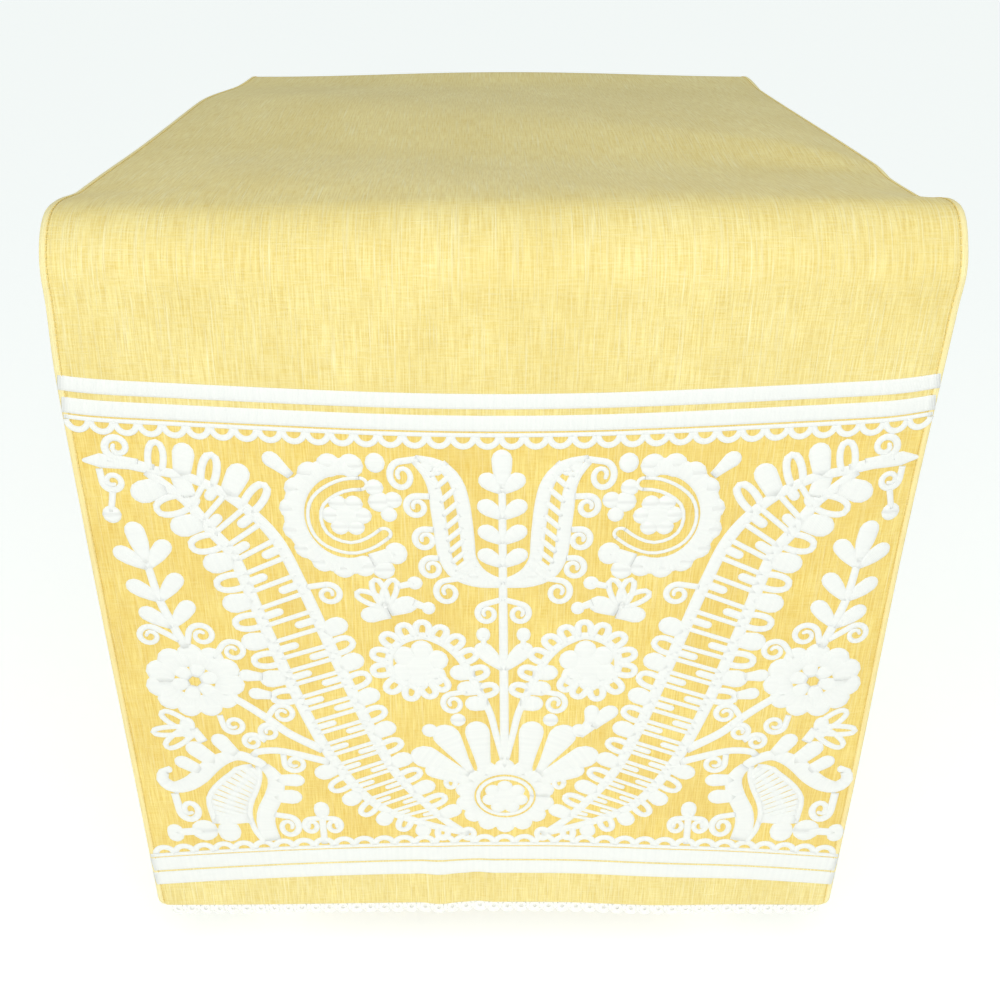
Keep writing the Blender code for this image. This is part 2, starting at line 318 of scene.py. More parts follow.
def rows_along():
    """Places of the cross rows on the cloth."""
    hem_rows = [0.0, 0.0008, 0.002, 0.004] + spread(0.006, HEM_DEPTH - 0.0012, 0.003)
    hem_rows += [HEM_DEPTH - 0.0012, HEM_DEPTH - 0.0006, HEM_DEPTH, HEM_DEPTH + 0.0006]
    middle = spread(HEM_DEPTH + 0.002, RUNNER_LENGTH - HEM_DEPTH - 0.002, ROW_SPACING)
    far_rows = [RUNNER_LENGTH - place for place in reversed(hem_rows)]
    return np.array(hem_rows + middle + [RUNNER_LENGTH - HEM_DEPTH - 0.002] + far_rows)


def columns_across():
    """Places of the lengthwise columns, close together in the rolled side hems."""
    edge = HALF_WIDTH
    hem = [edge, edge - 0.0004, edge - 0.0012, edge - 0.0022, edge - SIDE_HEM + 0.0005]
    hem += [edge - SIDE_HEM, edge - SIDE_HEM - 0.0005, edge - SIDE_HEM - 0.0012]
    inner = spread(-hem[-1] + 0.002, hem[-1] - 0.002, COLUMN_SPACING)
    return np.array([-place for place in hem] + inner + [hem[-1] - 0.002] + hem[::-1])


rows = rows_along()
columns = columns_across()
print("cloth grid:", len(rows), "rows by", len(columns), "columns")

# %% [markdown]
# ## Laying the sheet on the table
# Every flat place goes through the drape, so the sheet takes its folds. The hems are made here too: the
# corners are a little rounded, the side hems swell, a shallow groove marks each seam, and the turned ends
# are thicker.

# %% Draped sheet
EDGE_EASE = 0.0012
EDGE_DROP = 0.0005
FACE_DEPTH = 0.0002
SIDE_GROOVE_WIDTH = 0.0009
END_GROOVE_WIDTH = 0.0012
TURN_EASE = 0.0010


def hem_corner(across):
    """How far a rounded hem corner keeps the cloth back from its straight end."""
    past = np.maximum(0, np.abs(across) - (HALF_WIDTH - HEM_CORNER_RADIUS))
    return HEM_CORNER_RADIUS - np.sqrt(np.maximum(0, HEM_CORNER_RADIUS ** 2 - past ** 2))


def face_relief(across, along):
    """Small relief of the cloth's face: rolled side hems, their seams, and the eased outer edges."""
    from_side = HALF_WIDTH - np.abs(across)
    from_end = np.minimum(along, RUNNER_LENGTH - along)
    relief = SIDE_HEM_SWELL * hump(from_side - SIDE_HEM / 2, SIDE_HEM / 2)
    relief = relief - SEAM_GROOVE * hump(from_side - SIDE_HEM, SIDE_GROOVE_WIDTH)
    relief = relief - SEAM_GROOVE * hump(from_end - HEM_DEPTH, END_GROOVE_WIDTH)
    edge = np.minimum(from_side, from_end)
    return relief - EDGE_DROP * (1 - smooth(edge / EDGE_EASE)) - FACE_DEPTH


def make_cloth():
    """The runner's sheet: two layers with a rim, on the folds, with its flat places as UV."""
    across, along = np.meshgrid(columns, rows)
    across = across.ravel()
    along = along.ravel()
    from_end = np.minimum(along, RUNNER_LENGTH - along)
    kept_back = hem_corner(across) * np.maximum(0, 1 - from_end / HEM_DEPTH)
    place = np.where(along < RUNNER_LENGTH / 2, along + kept_back, along - kept_back)
    face_lift = face_relief(across, along)
    turned = smooth((HEM_DEPTH + 0.0004 - from_end) / TURN_EASE)
    thick = SHEET_THICKNESS + (TURNED_THICKNESS - SHEET_THICKNESS) * turned
    edge = np.minimum(HALF_WIDTH - np.abs(across), from_end)
    back_lift = -FACE_DEPTH - thick + EDGE_DROP * (1 - smooth(edge / EDGE_EASE))
    points = np.concatenate((on_runner(across, place, face_lift), on_runner(across, place, back_lift)))
    wide = len(columns)
    high = len(rows)
    back = wide * high
    faces = []
    for row in range(high - 1):
        for column in range(wide - 1):
            a = row * wide + column
            b = a + wide
            faces.append((a, a + 1, b + 1, b))
            faces.append((back + a, back + b, back + b + 1, back + a + 1))
    for column in range(wide - 1):
        last = (high - 1) * wide + column
        faces.append((column, back + column, back + column + 1, column + 1))
        faces.append((last, last + 1, back + last + 1, back + last))
    for row in range(high - 1):
        left = row * wide
        right = left + wide - 1
        faces.append((left, left + wide, back + left + wide, back + left))
        faces.append((right, back + right, back + right + wide, right + wide))
    mesh = bpy.data.meshes.new("runner")
    mesh.from_pydata(points.tolist(), [], faces)
    flat = np.stack((across, along), axis=-1)
    flat = np.concatenate((flat, flat))
    corners = np.empty(len(mesh.loops), np.int32)
    mesh.loops.foreach_get("vertex_index", corners)
    mesh.uv_layers.new(name="flat_cloth").data.foreach_set("uv", flat[corners].ravel().astype(np.float32))
    mesh.shade_smooth()
    sheet = bpy.data.objects.new("runner", mesh)
    bpy.context.scene.collection.objects.link(sheet)
    return sheet


runner = make_cloth()
print("runner sheet:", len(runner.data.polygons) * 2, "triangles")

# %% [markdown]
# ## Slub cotton
# The cloth is a plain weave of slub yarn, which is spun thick and thin on purpose. Most of its slubs show as
# pale streaks along the runner, with a few across it. Cotton is dull, with a faint fuzz that catches light at
# a low angle. The yarns are about 0.45 mm apart. That is finer than a pixel here, so the weave is drawn at
# twice its spacing, and the slubs at their real size.

# %% Slub cotton plain weave
YARN_SPACING_MM = 0.9
SLUB_WIDTH_MM = 0.9
SLUB_LENGTH_MM = 42.0
PANEL_BOTTOM = 0.0375
PANEL_TOP = 0.3235
# Width of the painted highlight along each rolled side hem.
HEM_HIGHLIGHT_WIDTH = 0.0030


def slub_cotton():
    material, shader = new_material("slub_cotton_plain_weave")
    flat = add_node(material, "ShaderNodeUVMap", {"uv_map": "flat_cloth"}).outputs["UV"]

    def streaks(name, width_mm, length_mm, lengthwise, low, high):
        """Noise drawn out along one direction of the cloth, between two thresholds."""
        scale = (1000 / width_mm, 1000 / length_mm, 1)
        if not lengthwise:
            scale = (1000 / length_mm, 1000 / width_mm, 1)
        place = add_node(material, "ShaderNodeMapping", {"label": name}, {"Vector": flat, "Scale": scale})
        noise = add_node(material, "ShaderNodeTexNoise", {"noise_dimensions": "2D"},
                         {"Vector": place.outputs["Vector"], "Scale": 1.0, "Detail": 3.0, "Roughness": 0.6})
        ramp = add_node(material, "ShaderNodeMapRange", {"label": name},
                        {"Value": noise.outputs["Fac"], "From Min": low, "From Max": high})
        return ramp.outputs["Result"]

    def both(kind, first, second):
        return add_node(material, "ShaderNodeMath", {"operation": kind}, {0: first, 1: second}).outputs[0]

    def tint(factor, first, second):
        return add_node(material, "ShaderNodeMix", {"data_type": "RGBA"},
                        {"Factor": factor, 6: first, 7: second}).outputs[2]

    long_slubs = streaks("slubs along the cloth", SLUB_WIDTH_MM, SLUB_LENGTH_MM, True, 0.56, 0.74)
    fine_yarns = streaks("yarns along the cloth", 0.7, 16.0, True, 0.30, 0.70)
    cross_yarns = streaks("yarns across the cloth", 0.7, 9.0, False, 0.30, 0.70)
    cross_slubs = streaks("slubs across the cloth", 0.8, 22.0, False, 0.62, 0.78)
    clouds = streaks("uneven dye", 45.0, 60.0, True, 0.30, 0.70)

    # In the embroidered panel every tint is deeper than on the plain cloth: this is painted shade between the
    # embroidery strokes.
    plain = tint(fine_yarns, linear("D6BC69"), linear("EBDB94"))
    panel = tint(fine_yarns, linear("D9B650"), linear("EBD682"))
    places = add_node(material, "ShaderNodeSeparateXYZ", None, {0: flat})
    along = places.outputs["Y"]
    # Mask of the panel along the cloth, where the tints carry painted shade.
    below_top = both("LESS_THAN", along, PANEL_TOP)
    panel_shade_mask = both("MULTIPLY", below_top, both("GREATER_THAN", along, PANEL_BOTTOM))
    colour = tint(panel_shade_mask, plain, panel)
    pale = tint(panel_shade_mask, linear("F6EDBE"), linear("F4E3A4"))
    weft = both("MULTIPLY", cross_yarns, 0.30)
    colour = tint(weft, colour, pale)
    slubs = both("MAXIMUM", long_slubs, both("MULTIPLY", cross_slubs, 0.6))
    colour = tint(both("MULTIPLY", slubs, 0.7), colour, pale)
    # The deep tint is more orange in the panel, as part of the same painted shade.
    deep = tint(panel_shade_mask, linear("CDB35F"), linear("CFA544"))
    colour = tint(both("MULTIPLY", clouds, 0.25), colour, deep)
    # Along the rolled side hems the cloth is painted paler: a painted highlight where their rounded edges
    # catch the light.
    from_middle = both("ABSOLUTE", places.outputs["X"], 0.0)
    hem_highlight_mask = both("GREATER_THAN", from_middle, HALF_WIDTH - HEM_HIGHLIGHT_WIDTH)
    colour = tint(both("MULTIPLY", hem_highlight_mask, 0.45), colour, linear("F4EBC0"))

    weave_scale = 1000 / YARN_SPACING_MM
    place = add_node(material, "ShaderNodeMapping", None,
                     {"Vector": flat, "Scale": (weave_scale, weave_scale, 1)}).outputs["Vector"]
    weave = add_node(material, "ShaderNodeTexChecker", None, {"Vector": place, "Scale": 1.0}).outputs["Fac"]
    relief = both("ADD", both("MULTIPLY", weave, 0.35), both("MULTIPLY", fine_yarns, 0.5))
    relief = both("ADD", relief, both("MULTIPLY", cross_yarns, 0.4))
    relief = both("ADD", relief, slubs)
    bump = add_node(material, "ShaderNodeBump", None,
                    {"Height": relief, "Strength": 0.6, "Distance": 0.00025})

    tree = material.node_tree
    tree.links.new(colour, shader.inputs["Base Color"])
    tree.links.new(bump.outputs["Normal"], shader.inputs["Normal"])
    shader.inputs["Roughness"].default_value = 0.85
    shader.inputs["Specular IOR Level"].default_value = 0.25
    shader.inputs["Sheen Weight"].default_value = 0.35
    shader.inputs["Sheen Roughness"].default_value = 0.45
    shader.inputs["Sheen Tint"].default_value = linear("FFF6DC")
    return material


runner.data.materials.append(slub_cotton())
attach(runner, "root")
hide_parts("runner_cloth")
print("cloth is dressed in", runner.data.materials[0].name)

# %% [markdown]
# ## One strand of satin stitch
# Satin stitch lays threads side by side across a shape, so each stroke of the pattern stands up from the
# cloth as a soft ridge, flat underneath. Drawing a thousand strokes one by one would be endless. Instead one
# short strand is modelled: a half-round section, extruded step by step along X. Every stroke is a copy of
# it, bent along its own line and widened as the stroke is.

# %% Unit strand
MM = 0.001
SECTION = ((-1, 0), (-0.94, 0.5), (-0.62, 0.9), (0, 1), (0.62, 0.9), (0.94, 0.5), (1, 0))
STRAND_STEPS = (6, 8, 12, 16, 24, 32, 48, 64, 96)


def model_strand(steps):
    """A strand one unit long, from -1 to 1 wide and one unit high, with its ends closed."""
    bpy.ops.mesh.primitive_circle_add(vertices=len(SECTION), radius=1, fill_type="NGON")
    model = bpy.context.object
    for vertex, (side, height) in zip(model.data.vertices, SECTION):
        vertex.co = (0, side, height)
    bpy.ops.object.mode_set(mode="EDIT")
    bpy.ops.mesh.select_all(action="SELECT")
    for step in range(steps):
        bpy.ops.mesh.extrude_region_move(TRANSFORM_OT_translate={"value": (1 / steps, 0, 0)})
    bpy.ops.mesh.select_all(action="SELECT")
    bpy.ops.mesh.normals_make_consistent(inside=False)
    bpy.ops.mesh.faces_shade_smooth()
    bpy.ops.mesh.select_all(action="DESELECT")
    bpy.ops.mesh.select_face_by_sides(number=len(SECTION))
    bpy.ops.mesh.faces_shade_flat()
    bpy.ops.object.mode_set(mode="OBJECT")
    mesh = model.data
    mesh.uv_layers.new(name="thread")
    bpy.data.objects.remove(model)
    return mesh


strand_models = {steps: model_strand(steps) for steps in STRAND_STEPS}
print("strand models:", {steps: len(mesh.polygons) for steps, mesh in strand_models.items()})

# %% [markdown]
# ## Lines of the pattern
# The pattern is charted flat, in millimetres, as a needlewoman would draw it: out is the distance from the
# middle line of the runner, up is the distance above the hem. It is the same on both sides, apart from one
# small sprig, so only one half is charted. Lines are smooth curves through a few points, and rings.

# %% Smooth lines, rings and scrolls
def smooth_line(points, samples=14):
    """A smooth curve through the given points."""
    points = np.array(points, float)
    if len(points) == 2:
        return points
    ends = np.vstack((2 * points[0] - points[1], points, 2 * points[-1] - points[-2]))
    share = np.linspace(0, 1, samples, endpoint=False)[:, None]
    pieces = []
    for a, b, c, d in zip(ends, ends[1:], ends[2:], ends[3:]):
        curve = 2 * b + (c - a) * share + (2 * a - 5 * b + 4 * c - d) * share ** 2
        pieces.append((curve + (3 * b - a - 3 * c + d) * share ** 3) / 2)
    return np.vstack(pieces + [points[-1:]])


def arc(centre, radius, start, end, samples=40):
    """Part of a circle or ellipse, from one angle to another in degrees: 0 is outwards, 90 is up."""
    radius = np.broadcast_to(radius, 2)
    turn = np.radians(np.linspace(start, end, samples))
    return np.stack((centre[0] + radius[0] * np.cos(turn), centre[1] + radius[1] * np.sin(turn)), axis=-1)


def measure(line):
    """Distance of each point of a line from its start."""
    steps = np.hypot(*np.diff(line, axis=0).T)
    return np.concatenate(([0.0], np.cumsum(steps)))


def point_on(line, share):
    """The point at a share of a line's length, and the direction there in degrees."""
    reached = measure(line)
    place = share * reached[-1]
    here = np.array([np.interp(place, reached, line[:, axis]) for axis in (0, 1)])
    step = reached[-1] * 0.01
    ahead = np.array([np.interp(place + step, reached, line[:, axis]) for axis in (0, 1)])
    behind = np.array([np.interp(place - step, reached, line[:, axis]) for axis in (0, 1)])
    return here, math.degrees(math.atan2(ahead[1] - behind[1], ahead[0] - behind[0]))


def towards(start, degrees, length):
    """The point at a distance from another in the given direction."""
    turn = math.radians(degrees)
    return (start[0] + length * math.cos(turn), start[1] + length * math.sin(turn))


print("a quarter ring of 10 mm is", round(float(measure(arc((0, 0), 10, 0, 90))[-1]), 2), "mm long")

# %% [markdown]
# ## Laying a stroke
# A stroke is laid by bending a copy of the unit strand along its line. Its widths are spread over its
# length, and a round end closes with three close steps. The UV map holds real lengths, along the stroke and
# across it, so that the threads can be drawn across every stroke at one scale.

# %% Stroke tool
STITCH_HEIGHT = 0.75
LEAST_WIDTH = 0.14
CAP_STATIONS = np.array((0.0, 0.12, 0.45))
STEP_LENGTH = 5.0
STEP_TURN = 0.32

laid = []


def stations(length, steps, start_cap, end_cap):
    """Places of the cross-sections along a stroke, closer together in its round ends."""
    first = list(CAP_STATIONS * start_cap) if start_cap else []
    last = list(length - CAP_STATIONS[::-1] * end_cap) if end_cap else []
    count = steps + 1 - len(first) - len(last)
    return np.array(first + list(np.linspace(start_cap, length - end_cap, count)) + last)


def round_share(distance, cap):
    """Share of the full width at a distance from a round end."""
    inside = 1 - np.clip(distance / cap, 0, 1)
    return np.sqrt(np.clip(1 - inside ** 2, LEAST_WIDTH ** 2, 1))


def lay(line, widths, ends="flat", height=STITCH_HEIGHT):
    """One raised stroke along a line. Ends are flat, round, or round only at the tip or the start."""
    line = np.array(line, float)
    widths = np.atleast_1d(widths).astype(float)
    reached = measure(line)
    length = reached[-1]
    start_cap = min(widths[0] / 2, length / 2) if ends in ("round", "start") else 0.0
    end_cap = min(widths[-1] / 2, length / 2) if ends in ("round", "tip") else 0.0
    directions = np.arctan2(*np.diff(line, axis=0).T[::-1])
    turned = np.abs((np.diff(directions) + np.pi) % (2 * np.pi) - np.pi).sum()
    caps = 3 * bool(start_cap) + 3 * bool(end_cap)
    wanted = caps + max((length - start_cap - end_cap) / STEP_LENGTH, turned / STEP_TURN)
    steps = next((count for count in STRAND_STEPS if count >= wanted), STRAND_STEPS[-1])
    places = stations(length, steps, start_cap, end_cap)
    share = np.ones(steps + 1)
    if start_cap:
        share = share * round_share(places, start_cap)
    if end_cap:
        share = share * round_share(length - places, end_cap)
    half = np.interp(places / length, np.linspace(0, 1, len(widths)), widths) / 2 * share
    heights = height * np.sqrt(share)
    middle = np.stack([np.interp(places, reached, line[:, axis]) for axis in (0, 1)], axis=-1)
    slope = np.gradient(line, axis=0)
    slope = slope / np.hypot(*slope.T)[:, None]
    slope = np.stack([np.interp(places, reached, slope[:, axis]) for axis in (0, 1)], axis=-1)
    slope = slope / np.hypot(*slope.T)[:, None]
    mesh = strand_models[steps].copy()
    shape = np.empty(len(mesh.vertices) * 3, np.float32)
    mesh.vertices.foreach_get("co", shape)
    shape = shape.reshape(-1, 3)
    station = np.rint(shape[:, 0] * steps).astype(int)
    side = shape[:, 1] * half[station]
    bent = middle[station] + np.stack((-slope[station, 1], slope[station, 0]), axis=-1) * side[:, None]
    points = np.column_stack((bent, shape[:, 2] * heights[station])) * MM
    mesh.vertices.foreach_set("co", points.ravel().astype(np.float32))
    corners = np.empty(len(mesh.loops), np.int32)
    mesh.loops.foreach_get("vertex_index", corners)
    threads = np.column_stack((places[station], side))[corners] * MM
    mesh.uv_layers["thread"].data.foreach_set("uv", threads.ravel().astype(np.float32))
    stroke = bpy.data.objects.new("stroke", mesh)
    bpy.context.scene.collection.objects.link(stroke)
    laid.append(stroke)


def gather(name):
    """Joins all the strokes laid since the last time into one flat piece of the chart."""
    bpy.ops.object.select_all(action="DESELECT")
    for stroke in laid:
        stroke.select_set(True)
    bpy.context.view_layer.objects.active = laid[0]
    bpy.ops.object.join()
    piece = bpy.context.object
    piece.name = name
    print(name, "is", len(laid), "strokes")
    laid.clear()
    return piece


# %% [markdown]
# ## Sewing the pattern on
# The flat pieces of the chart go on the cloth through the same function that drapes it. The middle line of
# the pattern leans a little, as the real one does. A copy for the other side is mirrored, which turns its
# faces inside out, so they are flipped back.

# %% Sew on
PATTERN_MIDDLE = 0.0012
PATTERN_LEAN = 0.0205
PATTERN_TOP = 0.301
THREAD_BED = 0.0004

white_pieces = []


def lay_copy(flat, name, place, bed, turned):
    """A copy of a flat piece, moved onto the cloth and sunk into it. A turned one has its faces flipped."""
    piece = flat.copy()
    piece.data = flat.data.copy()
    piece.name = name
    bpy.context.scene.collection.objects.link(piece)
    points = np.empty(len(piece.data.vertices) * 3, np.float32)
    piece.data.vertices.foreach_get("co", points)
    out, up, height = points.reshape(-1, 3).astype(float).T
    sewn = on_runner(*place(out, up), height - bed)
    piece.data.vertices.foreach_set("co", sewn.ravel().astype(np.float32))
    if turned:
        piece.data.flip_normals()
    piece.data.update()
    return piece


def sew_on(flat, name, side, leaning=True):
    """Lays a flat piece of the chart on the runner, on the right (1) or mirrored on the left (-1)."""
    def place(out, up):
        middle = PATTERN_MIDDLE + PATTERN_LEAN * (PATTERN_TOP - up) if leaning else 0.0
        return middle + side * out, up

    piece = lay_copy(flat, name, place, THREAD_BED, side < 0)
    white_pieces.append(piece)
    return piece


def sew_pair(flat):
    """Sews a half of the pattern on both sides of the middle line."""
    for side, word in ((1, "right"), (-1, "left")):
        sew_on(flat, flat.name + "_" + word, side)
    triangles = sum(len(polygon.vertices) - 2 for polygon in flat.data.polygons)
    print(flat.name, "sewn on both sides,", triangles, "triangles each")
    bpy.data.objects.remove(flat)


# %% [markdown]
# ## Small motifs
# Folk embroidery builds everything from a few small motifs: dots, solid petals, petals in outline (hoops),
# scrolls, and flowers of round lobes. Each one gets its own function with its real sizes, and the larger
# figures below only say where they go. Near the hem the cloth is pulled long, so motifs there are taller.

# %% Dots, petals, hoops, scrolls and flowers
LINE = 3.2
SCROLL_TURNS = 1.4
SCROLL_EYE = 1.2
SCROLL_WIDTHS = (1.1, 1.12, 1.05, 0.9, 0.7)


def dot(centre, radius, tall=1.0):
    """A dot, round or drawn out upwards."""
    reach = radius * tall
    lay([(centre[0], centre[1] - reach), (centre[0], centre[1] + reach)], 2 * radius, "round")


def petal(base, tip, width, narrow=0.6):
    """A solid petal, narrower at its base, with a round tip."""
    lay([base, tip], (narrow * width, 0.9 * width, width, width), "tip")


def leaf(base, tip, width):
    """A solid leaf on a thin stalk."""
    lay([base, tip], (0.36 * width, 0.7 * width, 0.96 * width, width, 0.96 * width), "tip")


def hoop(base, tip, width, stroke=LINE, opened=0.0):
    """A petal in outline: up one side, round the tip and down the other. Opened, its feet stand apart."""
    base = np.array(base, float)
    along = np.array(tip, float) - base
    length = np.hypot(*along)
    along = along / length
    aside = np.array((-along[1], along[0]))
    turn = np.linspace(opened, 2 - opened, 40)[:, None] * np.pi
    foot = (1 - math.cos(opened * math.pi)) / 2
    rise = ((1 - np.cos(turn)) / 2 - foot) / (1 - foot)
    bulge = (width - stroke) / 2 * np.sign(np.sin(turn)) * np.abs(np.sin(turn)) ** 0.75
    lay(base + along * (length - stroke / 2) * rise + aside * bulge, stroke)


def ring(centre, radius, stroke=LINE):
    """A closed ring: radius is its middle line, and may differ out and up."""
    lay(arc(centre, radius, 0, 362, 60), stroke)


def scroll(start, centre, radius, hand, tall=1.0, stroke=LINE):
    """A stalk that runs into a scroll. Hand 1 winds against the clock, -1 with it."""
    stretch = np.array((1.0, tall))
    centre = np.array(centre, float)
    away = (np.array(start, float) - centre) / stretch
    outer = radius * 1.04 - stroke * 0.55
    distance = max(np.hypot(*away), outer * 1.001)
    first = math.atan2(away[1], away[0]) + hand * math.acos(outer / distance)
    share = np.linspace(0, 1, 48)
    turn = first + hand * 2 * np.pi * SCROLL_TURNS * share
    reach = outer + (SCROLL_EYE - outer) * share ** 1.35
    wound = np.stack((np.cos(turn), np.sin(turn)), axis=-1) * reach[:, None]
    if np.hypot(*away) > outer * 1.1:
        wound = np.vstack((away, wound))
    lay(centre + wound * stretch, [stroke * share for share in SCROLL_WIDTHS], "tip")


def flower(centre, radius, lobes, first=90.0, tall=1.0):
    """A solid flower of round lobes about a round middle."""
    lobe = radius * math.sin(math.pi / lobes) / (1 + math.sin(math.pi / lobes)) * 1.15
    dot(centre, radius - lobe, tall)
    for count in range(lobes):
        turn = math.radians(first + 360 * count / lobes)
        reach = radius - lobe
        dot((centre[0] + reach * math.cos(turn), centre[1] + reach * tall * math.sin(turn)), lobe, tall)


flower((0, 0), 10, 6)
sample = gather("sample")
print("a six-lobed flower has", len(sample.data.polygons), "faces")
bpy.data.objects.remove(sample)

# %% [markdown]
# ## The great fern
# On each side a curved band climbs from the flower in the bottom middle to the upper corner. It is a ladder
# between two solid rails: rungs right across, with a short stub in each space. Outline and solid petals
# stand along both rails in turn, and the top ends in a pointed finial with a curl above and a drop below.
# The rails are two curves. All that stands on them is placed by its share of their length.

# %% Fern
RAIL_WIDTH = 6.7
FERN_INNER = smooth_line([(184, 298), (166, 293.6), (145, 288.6), (125.5, 276.6), (110.1, 257.6),
                          (100.3, 229.9), (86.4, 181.3), (70.6, 131.1), (58.5, 100.4), (38, 71.2),
                          (21.7, 55.2)])
FERN_OUTER = smooth_line([(167, 292.5), (157.3, 283.2), (149.6, 275.8), (140.4, 260), (131.6, 245.2),
                          (123.5, 212), (114.1, 175.3), (104.7, 142.6), (93.9, 113.5), (80, 88.5),
                          (66.2, 74.5), (44.5, 63.8), (24, 57)])
FERN_PETALS = (
    # rail, from, to (out of rail's length), count, first is a hoop, direction first, last,
    # reach first, last, width first, last
    (FERN_INNER, 0.071, 0.149, 3, True, 99, 106, 16.8, 18.4, 10.8, 11.2),
    (FERN_INNER, 0.184, 0.220, 2, False, 119, 126, 19.4, 18.8, 11.6, 11.4),
    (FERN_INNER, 0.475, 0.931, 13, False, 152, 150, 14.0, 14.0, 12.0, 10.4),
    (FERN_OUTER, 0.037, 0.512, 12, False, -19, -6, 17.8, 14.8, 13.0, 11.8),
    (FERN_OUTER, 0.696, 0.958, 8, False, -25, -86, 14.8, 9.9, 11.4, 9.8),
)
LADDER = (
    # rung, share of the outer rail, share of the inner rail
    (0, 0.091, 0.145),
    (5, 0.242, 0.321),
    (10, 0.427, 0.503),
    (15, 0.579, 0.643),
    (18, 0.664, 0.720),
    (27, 0.898, 0.930),
)
RUNGS = 27
RUNG_WIDTH = (3.1, 2.3)
STUB_WIDTH = (5.6, 2.6)
STUB_REACH = 0.46


def between(first, last, share):
    """A value part of the way from the first to the last."""
    return first + (last - first) * share


def fern_petals():
    """Hoops and solid petals in turn along the rails."""
    for rail, start, end, count, hoop_first, turn, last_turn, reach, last_reach, *widths in FERN_PETALS:
        for place in range(count):
            share = place / (count - 1)
            base, direction = point_on(rail, between(start, end, share))
            tip = towards(base, between(turn, last_turn, share), between(reach, last_reach, share))
            width = between(*widths, share)
            if (place % 2 == 0) == hoop_first:
                hoop(base, tip, width, 3.5 + 0.5 * share, 0.2)
            else:
                petal(base, tip, width, 0.75)


def ladder_place(rung):
    """Both ends of a rung, or of a place between two rungs."""
    numbers, on_outer, on_inner = np.array(LADDER).T
    outer, direction = point_on(FERN_OUTER, np.interp(rung, numbers, on_outer))
    inner, direction = point_on(FERN_INNER, np.interp(rung, numbers, on_inner))
    return outer, inner


def fern_ladder():
    """Rungs, and stubs from either rail in turn in the spaces between them."""
    for rung in range(RUNGS + 1):
        share = rung / RUNGS
        lay(ladder_place(rung), between(*RUNG_WIDTH, share))
        start, end = ladder_place(rung - 0.5)
        if rung % 2:
            start, end = end, start
        lay([start, between(start, end, STUB_REACH)], between(*STUB_WIDTH, share), "tip")


def fern():
    lay(FERN_INNER, (4.6, 5.4, RAIL_WIDTH, RAIL_WIDTH, RAIL_WIDTH, RAIL_WIDTH, 5.4, 5.0))
    lay(FERN_OUTER, (5.0, RAIL_WIDTH, RAIL_WIDTH, RAIL_WIDTH, RAIL_WIDTH, RAIL_WIDTH, 5.4, 5.0))
    lay([(196.0, 298.3), (187.5, 298.1), (173, 296.2), (163, 293.5)], (1.6, 8.0, 7.0, 5.8, 5.4), "start")
    lay([(151.5, 290.0), (149.5, 279.0)], 9.5)
    scroll((170, 297.0), (178.6, 305.0), 7.7, 1, stroke=3.6)
    scroll((188.8, 294), (183.6, 287.1), 6.4, -1)
    lay([(184.4, 282), (187.1, 271)], (3.4, 3.2))
    dot((187.1, 269.3), 4.8)
    scroll((97.5, 228), (86.9, 223.8), 7.5, 1)
    ring((21.2, 56.0), (3.0, 3.8), 3.8)
    for base, tip in (((126.0, 171.0), (138.6, 172.4)), ((122.6, 158.6), (134.8, 160.6))):
        lay([base, tip], (5.2, 6.4, 8.2, 9.0), "tip")
    fern_petals()
    fern_ladder()


fern()
sew_pair(gather("fern"))

# %% [markdown]
# ## The side sprig, its flower and the stems
# Outside each fern a sprig of round leaves rises from a large solid flower. The flower is worked in eleven
# lobes round a broad ring, with six petals inside that leave fine slits between them and an open eye.

# %% Sprig, side flower and bud
SPRIG_STEM = smooth_line([(175, 243), (172.5, 221), (168, 204), (163.5, 190)])
SPRIG_NODES = ((174.9, 238.8), (171.9, 219.4), (168.4, 203.0))
SIDE_FLOWER = (162.0, 168.3)


def side_flower():
    """Eleven lobes round a broad ring, and six petals in the ring round an open eye."""
    for lobe in range(11):
        turn = math.radians(24 + 32.7 * lobe)
        dot((SIDE_FLOWER[0] + 19.2 * math.cos(turn), SIDE_FLOWER[1] + 17.0 * math.sin(turn)), 7.2)
    ring(SIDE_FLOWER, (16.2, 15.0), 11.4)
    for count in range(6):
        turn = 46 + 60 * count
        petal(towards(SIDE_FLOWER, turn, 3.0), towards(SIDE_FLOWER, turn, 14.0), 9.0, 0.5)


def side_sprig():
    lay(SPRIG_STEM, (4.0, 4.4, 4.8, 5.0))
    leaf(towards(SPRIG_NODES[0], 90, 3), (178.8, 265.2), 10.4)
    for node in SPRIG_NODES:
        leaf(node, (node[0] + 14.8, node[1] + 11.6), 9.4)
        leaf(node, (node[0] - 12.0, node[1] + 15.6), 9.4)
    scroll((166.3, 194.7), (180.6, 197.9), 7.3, -1)
    scroll((162.5, 192.0), (154.4, 197.8), 8.0, 1)
    scroll((150.0, 183.4), (139.6, 187.8), 7.7, 1)


def side_bud():
    for tip, width in (((183.7, 148.9), 10.0), ((191.0, 134.2), 8.5), ((184.9, 122.6), 10.0)):
        hoop((168.5, 135.5), tip, width + 0.6, 3.4)
    dot((170.3, 136.5), 4.2, 1.8)
    lay([(167.5, 136), (163.5, 127)], (5.0, 6.0))


def side_stems():
    lay(smooth_line([(148, 160), (139.9, 154.6), (126.6, 143.0), (116.2, 132.6), (99, 121)]),
        (4.6, 5.2, 5.8))
    lay(smooth_line([(137.5, 117), (135.3, 119.6), (126.4, 120.7), (117.6, 119.2), (96, 112)]),
        (4.6, 4.8, 5.2))
    scroll((152.1, 145.5), (145.3, 138.8), 7.1, -1)
    scroll((127.5, 142.5), (118.1, 146.4), 7.4, 1)
    scroll((121.5, 138.5), (126.8, 133.8), 6.6, -1)
    scroll((129.5, 127.5), (136.6, 127.0), 6.5, -1)
    scroll((121.0, 118.0), (115.3, 111.2), 7.2, -1)


